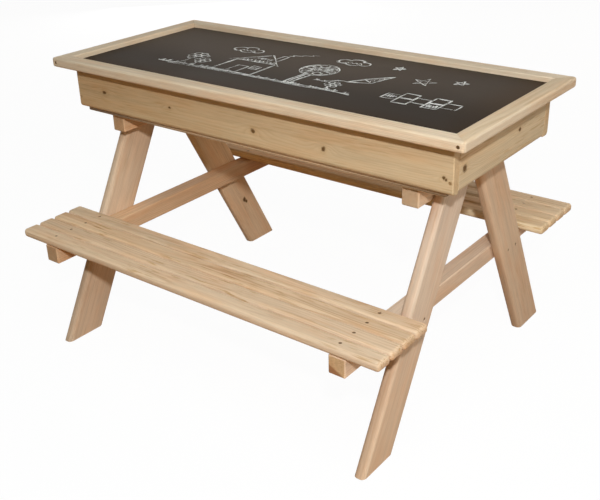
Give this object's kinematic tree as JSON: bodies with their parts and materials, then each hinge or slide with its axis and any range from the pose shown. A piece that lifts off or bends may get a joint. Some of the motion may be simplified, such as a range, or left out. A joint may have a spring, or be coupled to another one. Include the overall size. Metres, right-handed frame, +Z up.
{
  "type": "picnic table with sandbox",
  "caption": "Child's pine picnic table with slatted benches fixed to A-shaped trestles and a shallow sandbox under a lift-off chalkboard lid.",
  "frame": {"origin": "on the floor, below the middle of the table", "axes": "+X along the table and its benches, +Y from the front bench to the back bench, +Z up"},
  "size_m": [0.9, 0.7096, 0.55],
  "materials": {
    "rail_pine": "planed, satin",
    "wall_pine": "planed, satin",
    "leg_pine": "planed, satin",
    "slat_pine": "planed, satin",
    "floor_ply": "matte",
    "chalkboard_black": "matte chalkboard paint",
    "screw_steel": "yellow-passivated, dulled"
  },
  "bodies": {
    "table": {"box_wall_front": "wall_pine", "box_wall_back": "wall_pine", "box_wall_left": "wall_pine", "box_wall_right": "wall_pine", "box_floor": "floor_ply", "wall_screw_front_left": "screw_steel", "wall_screw_front_right": "screw_steel", "wall_screw_back_left": "screw_steel", "wall_screw_back_right": "screw_steel", "top_beam_left": "leg_pine", "top_beam_right": "leg_pine", "seat_beam_left": "leg_pine", "seat_beam_right": "leg_pine", "leg_left_front": "leg_pine", "leg_left_back": "leg_pine", "leg_right_front": "leg_pine", "leg_right_back": "leg_pine", "leg_screw_left_front_a": "screw_steel", "leg_screw_left_front_b": "screw_steel", "leg_screw_left_back_a": "screw_steel", "leg_screw_left_back_b": "screw_steel", "leg_screw_right_front_a": "screw_steel", "leg_screw_right_front_b": "screw_steel", "leg_screw_right_back_a": "screw_steel", "leg_screw_right_back_b": "screw_steel", "slat_front_1": "slat_pine", "slat_front_2": "slat_pine", "slat_front_3": "slat_pine", "slat_front_4": "slat_pine", "slat_back_1": "slat_pine", "slat_back_2": "slat_pine", "slat_back_3": "slat_pine", "slat_back_4": "slat_pine", "slat_screw_front_1_left": "screw_steel", "slat_screw_front_1_right": "screw_steel", "slat_screw_front_2_left": "screw_steel", "slat_screw_front_2_right": "screw_steel", "slat_screw_front_3_left": "screw_steel", "slat_screw_front_3_right": "screw_steel", "slat_screw_front_4_left": "screw_steel", "slat_screw_front_4_right": "screw_steel", "slat_screw_back_1_left": "screw_steel", "slat_screw_back_1_right": "screw_steel", "slat_screw_back_2_left": "screw_steel", "slat_screw_back_2_right": "screw_steel", "slat_screw_back_3_left": "screw_steel", "slat_screw_back_3_right": "screw_steel", "slat_screw_back_4_left": "screw_steel", "slat_screw_back_4_right": "screw_steel"},
    "lid": {"lid_rail_front": "rail_pine", "lid_rail_back": "rail_pine", "lid_rail_left": "rail_pine", "lid_rail_right": "rail_pine", "chalkboard": "chalkboard_black", "lid_batten_left": "rail_pine", "lid_batten_right": "rail_pine", "rail_screw_front_left": "screw_steel", "rail_screw_front_right": "screw_steel", "rail_screw_back_left": "screw_steel", "rail_screw_back_right": "screw_steel"}
  },
  "joints": [
    {"name": "lid_lift", "type": "slide", "parent": "table", "child": "lid", "axis": [0, 0, 1], "range_m": [0, 0.3]}
  ]
}
